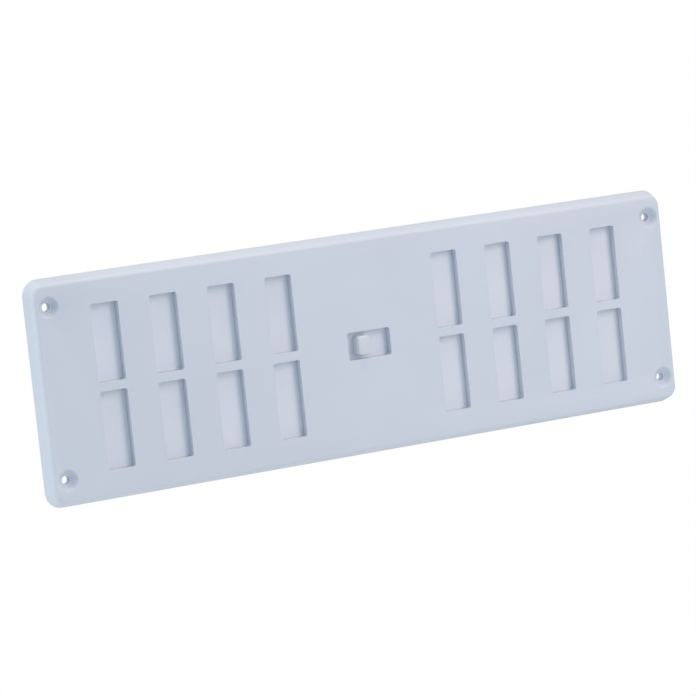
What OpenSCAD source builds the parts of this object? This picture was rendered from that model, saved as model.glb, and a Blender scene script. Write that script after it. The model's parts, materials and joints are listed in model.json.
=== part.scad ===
// Sliding ventilation grille for a wall: a slotted cover, and a shutter that slides behind it.
// X runs along the grille, Z is up, and the front looks along -Y. The wall is the plane Y = 0,
// and the origin is the centre of the cover's back.

/* [Cover] */
// Length of the cover at the wall
cover_w = 250.2; // [249.6:0.1:280]
// Height of the cover at the wall
cover_h = 78.5; // [76:0.1:100]
// Distance from the wall to the front face
cover_d = 5.5; // [5.2:0.1:8]
// How far every side leans in between the wall and the face
side_lean = 2; // [1:0.1:2.4]
// Corner radius of the cover at the wall
corner_r = 5.7; // [4:0.1:8]
// Radius of the edge round the face
face_edge_r = 0.9; // [0.4:0.1:1.2]
// Thickness of the face and of the side walls
wall_t = 1.6; // [1.3:0.1:1.8]

/* [Slots] */
// Distance from one column of slots to the next
slot_pitch = 21.8; // [21:0.1:22.1]
// Width of one slot
slot_w = 10.2; // [8:0.1:10.6]
// Height of one slot
slot_h = 27.1; // [20:0.1:27.5]
// Height of the bar between the two rows of slots
mid_bar_h = 3.1; // [2.6:0.1:4]
// Corner radius of slots and window
slot_r = 0.8; // [0.4:0.1:1.5]
// Columns of slots on each side of the finger window
side_columns = 4; // [2:1:4]
// Depth of a slot, from the face to the closed shutter
slot_depth = 2.9; // [2.4:0.1:3.2]

/* [Finger window] */
// Width of the window that the nib moves in
window_w = 16.8; // [16.8:0.1:19]
// Height of the window
window_h = 9.8; // [8:0.1:14]

/* [Screw holes] */
// Distance between the screw holes along the grille
screw_span_x = 236.4; // [234:0.1:237.4]
// Distance between the screw holes up the grille
screw_span_z = 59.2; // [50:0.1:61]
// Diameter of the hole for the screw's shank
screw_hole_d = 3; // [2.8:0.1:3.6]
// Diameter of the screw's recess at the face
screw_head_d = 7.6; // [7:0.1:8.2]
// Diameter of the recess at its floor
screw_seat_d = 3.6; // [3.6:0.1:6.8]
// Depth of the recess, from the face to its floor
screw_recess_depth = 2.2; // [1:0.1:3.5]

/* [Shutter] */
// Thickness of the shutter's blade
blade_t = 1.2; // [0.8:0.1:1.5]
// Width of one opening in the blade
blade_gap_w = 8.2; // [6:0.1:10.5]
// How far the closed blade laps past the slots on their left
blade_lap = 0.3; // [0.2:0.1:0.6]
// Width of the nib
nib_w = 4.9; // [3.5:0.1:4.9]
// Height of the nib
nib_h = 7; // [5:0.1:7.5]
// How far the nib stands in front of the face
nib_proud = 1.2; // [0.4:0.1:2]
// Distance from the window's left edge to the nib when the grille is closed
nib_gap = 3.4; // [2:0.1:3.4]

/* [Hidden] */

cover_colour = [0.93, 0.94, 0.97];
shutter_colour = [0.86, 0.88, 0.92];

// columns of slots, left to right, and the two rows
column_x = [for (side = [-1, 1], i = [0 : side_columns - 1])
    side * (side < 0 ? side_columns + 0.5 - i : 1.5 + i) * slot_pitch];
row_z = (mid_bar_h + slot_h) / 2;
slots_top = mid_bar_h / 2 + slot_h;
last_column = (side_columns + 0.5) * slot_pitch;

// places along the depth, as distances in front of the wall
face_back = cover_d - wall_t;
blade_front = cover_d - slot_depth;
blade_back = blade_front - blade_t;
blade_play = 0.15;
hook_front = blade_back - 0.25;
hook_t = 0.8;
hook_back = hook_front - hook_t;

// walls behind the face that lead the air to the shutter
collar_t = 1.1;
collar_back = blade_front + blade_play;

// the shutter and its guides
blade_half_w = last_column + slot_w / 2 + blade_lap;
blade_half_h = slots_top + 2.1;
guide_play = 0.35;
guide_t = 1.5;
guide_inner = blade_half_h + guide_play;
guide_outer = guide_inner + guide_t;
guide_half_w = 112;
hook_w = 12;
hook_reach = 1.4;
hook_x = [-90, -44, 0, 44, 90];
stop_gap = 0.3;
stop_t = 1.5;
stop_h = 9;
blade_corner_r = 1;
blade_rib_h = 0.8;
blade_rib_t = 1.6;
blade_rib_inset = 4;
nib_x = -window_w / 2 + nib_gap + nib_w / 2;
nib_draft = 0.2;
nib_edge = 0.5;
nib_corner_r = 0.9;

// screw bosses and the ribs that stiffen the sides
boss_d = 8.8;
recess_taper = (screw_head_d - screw_seat_d) / screw_recess_depth;
rib_t = 1.2;
rib_back = 0.9;
fuse = 0.4;
layer_t = 0.01;
past = 1;
round_fn = 48;
corner_fn = 32;

// rectangle with round corners, about the origin
module rounded(w, h, r, fn = 24) {
    square([w - 2 * r, h], center = true);
    square([w, h - 2 * r], center = true);
    for (sx = [-1, 1], sz = [-1, 1])
        translate([sx * (w / 2 - r), sz * (h / 2 - r)]) circle(r, $fn = fn);
}

// a drawing in X and Z, made solid between two distances in front of the wall
module in_front(near, far) {
    rotate([90, 0, 0]) translate([0, 0, near]) linear_extrude(far - near) children();
}

// one thin layer of the cover's outline, pulled in from its size at the wall
module outline(distance, pull) {
    in_front(distance, distance + layer_t)
        rounded(cover_w - 2 * pull, cover_h - 2 * pull, corner_r - pull, corner_fn);
}

module cover_outside() {
    edge_from = cover_d - face_edge_r;
    hull() {
        outline(0, 0);
        for (a = [0 : 15 : 90]) {
            distance = edge_from + face_edge_r * sin(a) - (a == 90 ? layer_t : 0);
            outline(distance, side_lean * distance / cover_d + face_edge_r * (1 - cos(a)));
        }
    }
}

module cover_cavity() {
    hull() {
        outline(-past, wall_t);
        outline(0, wall_t);
        outline(face_back - layer_t, wall_t + side_lean);
    }
}

// both rows of slots and the window, grown by a margin on every side
module air_openings(margin = 0) {
    for (x = column_x, side = [-1, 1])
        translate([x, side * row_z]) rounded(slot_w + 2 * margin, slot_h + 2 * margin, slot_r + margin);
    rounded(window_w + 2 * margin, window_h + 2 * margin, slot_r + margin);
}

module collars() {
    in_front(collar_back, face_back + fuse) air_openings(collar_t);
}

module at_screws() {
    for (sx = [-1, 1], sz = [-1, 1])
        translate([sx * screw_span_x / 2, 0, sz * screw_span_z / 2]) rotate([90, 0, 0]) children();
}

module screw_bosses() {
    at_screws() cylinder(d = boss_d, h = face_back + fuse, $fn = round_fn);
}

// a plain hole right through, and a tapered recess for the screw's head
module screw_holes() {
    at_screws() {
        translate([0, 0, -past]) cylinder(d = screw_hole_d, h = past + cover_d, $fn = round_fn);
        translate([0, 0, cover_d - screw_recess_depth])
            cylinder(d1 = screw_seat_d, d2 = screw_head_d + recess_taper * past,
                h = screw_recess_depth + past, $fn = round_fn);
    }
}

// one guide above the shutter, with the hooks that hold the blade in
module guide() {
    in_front(hook_back, face_back + fuse)
        translate([-guide_half_w, guide_inner]) square([2 * guide_half_w, guide_t]);
    in_front(hook_back, hook_front)
        for (x = hook_x)
            translate([x - hook_w / 2, guide_inner - hook_reach]) square([hook_w, hook_reach + fuse]);
}

// ribs from the guide to the long side, one between each two columns
module side_ribs() {
    reach = cover_h / 2 - wall_t - guide_outer;
    in_front(rib_back, face_back + fuse)
        for (i = [-side_columns : side_columns])
            translate([i * slot_pitch - rib_t / 2, guide_outer - fuse]) square([rib_t, reach + fuse]);
}

// two short walls that the left end of the closed shutter meets
module end_stops() {
    in_front(blade_back, face_back + fuse)
        for (side = [-1, 1])
            translate([-blade_half_w - stop_gap - stop_t, side * (blade_half_h - stop_h / 2) - stop_h / 2])
                square([stop_t, stop_h]);
}

module cover() {
    color(cover_colour)
    difference() {
        union() {
            difference() {
                cover_outside();
                cover_cavity();
            }
            intersection() {
                union() {
                    collars();
                    screw_bosses();
                    end_stops();
                    for (turn = [0, 180]) rotate([0, turn, 0]) {
                        guide();
                        side_ribs();
                    }
                }
                cover_outside();
            }
        }
        in_front(0, cover_d + past) air_openings();
        screw_holes();
    }
}

// the openings that meet the slots when the shutter is pushed to the right;
// the first column needs none, because the blade's end moves clear of it
module blade_openings() {
    for (i = [1 : len(column_x) - 1], side = [-1, 1])
        translate([column_x[i] - slot_w / 2 - blade_lap - blade_gap_w / 2, side * row_z])
            rounded(blade_gap_w, slot_h, slot_r);
}

module blade() {
    in_front(blade_back, blade_front)
        difference() {
            rounded(2 * blade_half_w, 2 * blade_half_h, blade_corner_r);
            blade_openings();
        }
    in_front(blade_back - blade_rib_h, blade_back + fuse)
        square([2 * (blade_half_w - blade_rib_inset), blade_rib_t], center = true);
}

// the nib narrows towards the finger and has a soft edge
module nib() {
    tip = cover_d + nib_proud;
    edge_from = tip - nib_edge;
    hull() {
        in_front(blade_front - fuse, blade_front) nib_section(0);
        for (a = [0 : 30 : 90])
            in_front(edge_from + nib_edge * sin(a) - layer_t, edge_from + nib_edge * sin(a))
                nib_section(nib_draft + nib_edge * (1 - cos(a)));
    }
}

module nib_section(pull) {
    rounded(nib_w - 2 * pull, nib_h - 2 * pull, nib_corner_r - pull / 2, corner_fn);
}

module shutter() {
    color(shutter_colour) {
        blade();
        translate([nib_x, 0, 0]) nib();
    }
}

cover();
shutter();
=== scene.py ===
"""A sliding ventilation grille in bluish white plastic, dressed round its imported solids."""

import json
import math

import bmesh
import bpy
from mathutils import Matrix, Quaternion, Vector


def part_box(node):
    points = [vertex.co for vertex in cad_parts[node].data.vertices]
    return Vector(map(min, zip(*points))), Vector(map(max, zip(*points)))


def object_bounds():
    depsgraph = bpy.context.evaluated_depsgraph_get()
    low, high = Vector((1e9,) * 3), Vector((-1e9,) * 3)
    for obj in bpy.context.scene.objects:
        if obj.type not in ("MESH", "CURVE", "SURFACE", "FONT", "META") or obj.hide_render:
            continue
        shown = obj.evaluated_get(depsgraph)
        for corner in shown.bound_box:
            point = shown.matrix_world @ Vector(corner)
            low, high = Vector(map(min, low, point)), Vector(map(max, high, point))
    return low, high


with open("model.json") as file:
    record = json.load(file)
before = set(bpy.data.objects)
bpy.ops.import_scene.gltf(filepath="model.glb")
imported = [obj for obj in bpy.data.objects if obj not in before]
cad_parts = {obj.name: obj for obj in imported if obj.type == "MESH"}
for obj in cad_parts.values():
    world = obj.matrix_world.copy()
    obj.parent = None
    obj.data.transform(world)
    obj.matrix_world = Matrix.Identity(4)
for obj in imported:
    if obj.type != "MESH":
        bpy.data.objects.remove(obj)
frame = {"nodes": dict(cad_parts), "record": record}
cad_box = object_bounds()

MM = 0.001

# Places that the CAD gives, and how far a screw recess reaches from its middle
face_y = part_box("cover")[0].y
screw_spacing = frame["record"]["mounts"][0]["dims"]
screw_x = screw_spacing["spacing_x_mm"] / 2 * MM
screw_z = screw_spacing["spacing_y_mm"] / 2 * MM
recess_reach = 4.4 * MM


def world_direction(azimuth, elevation):
    """Unit vector from the object towards that side: azimuth 0 is the front, 90 the right."""
    a, e = math.radians(azimuth), math.radians(elevation)
    return Vector((math.sin(a) * math.cos(e), -math.cos(a) * math.cos(e), math.sin(e)))


# Camera at the photograph's viewing angle: from the left and a little above, rolled a few degrees
camera_azimuth = -25.65
camera_elevation = 6.752
camera_roll = 6.012
camera_distance = 1.2115
camera_lens = 178.4
camera_sensor = 36
camera_aim = Vector((-8.51, -5.5, -0.19)) * MM


def make_camera():
    data = bpy.data.cameras.new("camera")
    data.lens = camera_lens
    data.sensor_width = camera_sensor
    data.clip_start = 0.05
    data.clip_end = 50
    camera = bpy.data.objects.new("camera", data)
    back = world_direction(camera_azimuth, camera_elevation)
    upright = (-back).to_track_quat("-Z", "Y")
    camera.rotation_mode = "QUATERNION"
    camera.rotation_quaternion = upright @ Quaternion((0, 0, 1), math.radians(-camera_roll))
    camera.location = camera_aim + back * camera_distance
    bpy.context.scene.collection.objects.link(camera)
    bpy.context.scene.camera = camera


make_camera()

# Soft rounding of the moulded edges, on top of the solids
slot_rim_round = 0.6 * MM
recess_rim_round = 0.15 * MM
edge_round = 0.16 * MM
sharp_angle = math.radians(40)
flat_angle = math.radians(0.3)
weld_distance = 0.001 * MM
face_tolerance = 0.02 * MM


def place_key(edge_ends):
    """An edge's two ends, rounded to a micrometre, whichever of them comes first."""
    return frozenset(tuple(round(c / weld_distance) for c in end) for end in edge_ends)


def on_recess(place):
    return math.hypot(abs(place.x) - screw_x, abs(place.z) - screw_z) < recess_reach


def on_slot(place):
    return abs(place.x) < screw_x - 2 * recess_reach


def front_rims(mesh, wanted):
    """Keys of the sharp edges that lie in the front face and pass the test on their middle."""
    work = bmesh.new()
    work.from_mesh(mesh)
    bmesh.ops.remove_doubles(work, verts=work.verts, dist=weld_distance)
    keys = set()
    for edge in work.edges:
        ends = [v.co for v in edge.verts]
        in_face = all(abs(end.y - face_y) < face_tolerance for end in ends)
        sharp = edge.is_manifold and edge.calc_face_angle() > sharp_angle
        if in_face and sharp and wanted(sum(ends, Vector()) / 2):
            keys.add(place_key(ends))
    work.free()
    return keys


def mark_edges(mesh, name, keys):
    """A bevel weight of 1 on the edges with those keys, and 0 on the others."""
    marks = mesh.attributes.new(name, "FLOAT", "EDGE")
    corners = mesh.vertices
    for edge in mesh.edges:
        ends = [corners[i].co for i in edge.vertices]
        marks.data[edge.index].value = 1.0 if place_key(ends) in keys else 0.0


def merge_mesh(obj):
    """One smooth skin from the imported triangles, so that a bevel can follow the true edges."""
    obj.data.attributes.remove(obj.data.attributes["custom_normal"])
    obj.data.shade_smooth()
    weld = obj.modifiers.new("weld", "WELD")
    weld.merge_threshold = weld_distance
    flat = obj.modifiers.new("merge flat faces", "DECIMATE")
    flat.decimate_type = "DISSOLVE"
    flat.angle_limit = flat_angle


def add_bevel(obj, name, width, segments, marks=None):
    """Rounds the marked edges or, where no marks are named, every sharp edge."""
    bevel = obj.modifiers.new(name, "BEVEL")
    bevel.width = width
    bevel.segments = segments
    bevel.use_clamp_overlap = True
    bevel.harden_normals = True
    bevel.limit_method = "WEIGHT" if marks else "ANGLE"
    bevel.angle_limit = sharp_angle
    if marks:
        bevel.edge_weight = marks


cover, shutter = (frame["nodes"][name] for name in ("cover", "shutter"))
mark_edges(cover.data, "slot_rim", front_rims(cover.data, on_slot))
mark_edges(cover.data, "recess_rim", front_rims(cover.data, on_recess))
for node in (cover, shutter):
    merge_mesh(node)
add_bevel(cover, "slot rims", slot_rim_round, segments=5, marks="slot_rim")
add_bevel(cover, "recess rims", recess_rim_round, segments=4, marks="recess_rim")
for node in (cover, shutter):
    add_bevel(node, "soft edges", edge_round, segments=3)


def add_node(tree, kind, inputs, **settings):
    """A new node. Each input gets a plain value, or a link where another node's output is given."""
    node = tree.nodes.new(kind)
    for name, value in settings.items():
        setattr(node, name, value)
    for socket, value in inputs.items():
        if isinstance(value, bpy.types.NodeSocket):
            tree.links.new(value, node.inputs[socket])
        else:
            node.inputs[socket].default_value = value
    return node


# White moulded plastic. The shutter is lighter than the cover, partly because two mouldings differ and
# partly as painted light that offsets the shade on the shutter in the slots
plastic_ior = 1.49
cloud_size = 45 * MM
cloud_shade = (0.975, 1.015)
flow_size = 9 * MM
flow_stretch = (0.4, 1, 1)
flow_roughness = (0.37, 0.45)
flow_height = 0.02 * MM
grain_size = 0.5 * MM
grain_roughness = (-0.02, 0.04)
grain_height = 0.006 * MM
usual_noise = (0.3, 0.7)

# Painted light taken back: the lightened shutter is darkened again in front of the face, where its nib
# stands out of the slots' shade, by the share that make_plastic is given
darkening_from = -5 * MM
darkening_to = -6.5 * MM


def make_plastic(name, colour, seed, front_darkening_share=0):
    material = bpy.data.materials.new(name)
    material.use_nodes = True
    tree = material.node_tree
    place = tree.nodes.new("ShaderNodeTexCoord").outputs["Object"]

    def noise(size, detail, stretch=(1, 1, 1)):
        mapping = add_node(tree, "ShaderNodeMapping", {
            "Vector": place, "Location": (seed, seed, seed), "Scale": stretch})
        texture = add_node(tree, "ShaderNodeTexNoise", {
            "Vector": mapping.outputs["Vector"], "Scale": 1 / size, "Detail": detail})
        return texture.outputs["Fac"]

    def spread(value, new_range, old_range=usual_noise):
        """The value made to run through a new range while it runs through its old one."""
        return add_node(tree, "ShaderNodeMapRange", {
            "Value": value, "From Min": old_range[0], "From Max": old_range[1],
            "To Min": new_range[0], "To Max": new_range[1]}).outputs["Result"]

    def total(first, second):
        return add_node(tree, "ShaderNodeMath", {0: first, 1: second}, operation="ADD").outputs["Value"]

    cloud = noise(cloud_size, detail=2)
    flow = noise(flow_size, detail=3, stretch=flow_stretch)
    grain = noise(grain_size, detail=2)

    darker, lighter = ((*(c * shade for c in colour), 1) for shade in cloud_shade)
    paint = add_node(tree, "ShaderNodeMix", {
        "Factor": spread(cloud, (0, 1)), "A": darker, "B": lighter}, data_type="RGBA").outputs["Result"]
    # Painted light: darker in front of the face, where the nib stands out of the shade that the
    # lightened colour offsets
    if front_darkening_share:
        depth = add_node(tree, "ShaderNodeSeparateXYZ", {"Vector": place}).outputs["Y"]
        front_scale = spread(depth, (1, 1 - front_darkening_share), (darkening_from, darkening_to))
        paint = add_node(tree, "ShaderNodeVectorMath", {
            0: paint, "Scale": front_scale}, operation="SCALE").outputs["Vector"]

    roughness = total(spread(flow, flow_roughness), spread(grain, grain_roughness))
    height = total(spread(grain, (0, grain_height)), spread(flow, (0, flow_height)))
    bump = add_node(tree, "ShaderNodeBump", {"Height": height, "Distance": 1, "Strength": 1})

    shader = tree.nodes["Principled BSDF"]
    shader.inputs["IOR"].default_value = plastic_ior
    tree.links.new(paint, shader.inputs["Base Color"])
    tree.links.new(roughness, shader.inputs["Roughness"])
    tree.links.new(bump.outputs["Normal"], shader.inputs["Normal"])
    return material


cover.material_slots[0].material = make_plastic("cover_plastic", (0.70, 0.73, 0.80), seed=0.3)
# Painted light in part: the shutter's colour is lightened to offset the shade that falls on it in the
# slots
shutter.material_slots[0].material = make_plastic(
    "shutter_plastic", (0.777, 0.796, 0.852), seed=0.7, front_darkening_share=0.07)

# Pale floor well below the grille, a disc that fades out into the white studio towards its rim
floor_drop = 200 * MM
floor_fade_from = 200 * MM
floor_fade_to = 480 * MM
floor_sides = 96
floor_colour = (0.9, 0.9, 0.9, 1)
floor_roughness = 0.9


def make_floor_paint():
    paint = bpy.data.materials.new("floor_paint")
    paint.use_nodes = True
    tree = paint.node_tree
    shader = tree.nodes["Principled BSDF"]
    shader.inputs["Base Color"].default_value = floor_colour
    shader.inputs["Roughness"].default_value = floor_roughness
    shader.inputs["Specular IOR Level"].default_value = 0
    place = tree.nodes.new("ShaderNodeTexCoord").outputs["Object"]
    reach = add_node(tree, "ShaderNodeVectorMath", {0: place}, operation="LENGTH").outputs["Value"]
    fade = add_node(tree, "ShaderNodeMapRange", {
        "Value": reach, "From Min": floor_fade_from, "From Max": floor_fade_to},
        interpolation_type="SMOOTHSTEP").outputs["Result"]
    clear = tree.nodes.new("ShaderNodeBsdfTransparent").outputs["BSDF"]
    mix = add_node(tree, "ShaderNodeMixShader", {"Fac": fade, 1: shader.outputs["BSDF"], 2: clear})
    tree.links.new(mix.outputs["Shader"], tree.nodes["Material Output"].inputs["Surface"])
    return paint


def make_floor():
    mesh = bpy.data.meshes.new("floor")
    work = bmesh.new()
    bmesh.ops.create_circle(work, cap_ends=True, segments=floor_sides, radius=floor_fade_to)
    work.to_mesh(mesh)
    work.free()
    mesh.materials.append(make_floor_paint())
    floor = bpy.data.objects.new("floor", mesh)
    floor.location.z = cad_box[0].z - floor_drop
    bpy.context.scene.collection.objects.link(floor)


make_floor()

# Soft studio lights: round lamps that face the grille from the same distance
lamp_distance = 1.2
lamp_diameter = 0.6


def add_lamp(name, azimuth, elevation, power, colour):
    data = bpy.data.lights.new(name, "AREA")
    data.shape = "DISK"
    data.size = lamp_diameter
    data.energy = power
    data.color = colour
    lamp = bpy.data.objects.new(name, data)
    side = world_direction(azimuth, elevation)
    lamp.location = side * lamp_distance
    lamp.rotation_mode = "QUATERNION"
    lamp.rotation_quaternion = side.to_track_quat("Z", "Y")
    lamp.visible_camera = False
    bpy.context.scene.collection.objects.link(lamp)


add_lamp("overhead", 0, 85, 4.2, (1, 0.82, 0.57))
add_lamp("key_low", 30, 10, 2.0, (1, 0.94, 0.77))
add_lamp("key_high", 30, 35, 3.5, (1, 0.77, 0.75))
add_lamp("left", -95, 10, 5.2, (1, 0.96, 0.9))
add_lamp("back", 180, 5, 3.6, (1, 0.88, 0.84))

# The studio is plain white to look at, and lights the grille with a cool glow, dimmer from below
studio_white = (1, 1, 1, 1)
glow_above = (0.445, 0.55, 0.64, 1)
glow_below = (0.38, 0.465, 0.545, 1)


def make_studio():
    studio = bpy.data.worlds.new("studio")
    studio.use_nodes = True
    tree = studio.node_tree
    direction = tree.nodes.new("ShaderNodeTexCoord").outputs["Generated"]
    rise = add_node(tree, "ShaderNodeSeparateXYZ", {"Vector": direction}).outputs["Z"]
    above = add_node(tree, "ShaderNodeMath", {0: rise, 1: 0}, operation="GREATER_THAN").outputs["Value"]
    glow = add_node(tree, "ShaderNodeMix", {
        "Factor": above, "A": glow_below, "B": glow_above}, data_type="RGBA").outputs["Result"]
    seen = tree.nodes.new("ShaderNodeLightPath").outputs["Is Camera Ray"]
    colour = add_node(tree, "ShaderNodeMix", {
        "Factor": seen, "A": glow, "B": studio_white}, data_type="RGBA").outputs["Result"]
    tree.links.new(colour, tree.nodes["Background"].inputs["Color"])
    bpy.context.scene.world = studio


make_studio()

bpy.context.scene.view_settings.view_transform = "Standard"
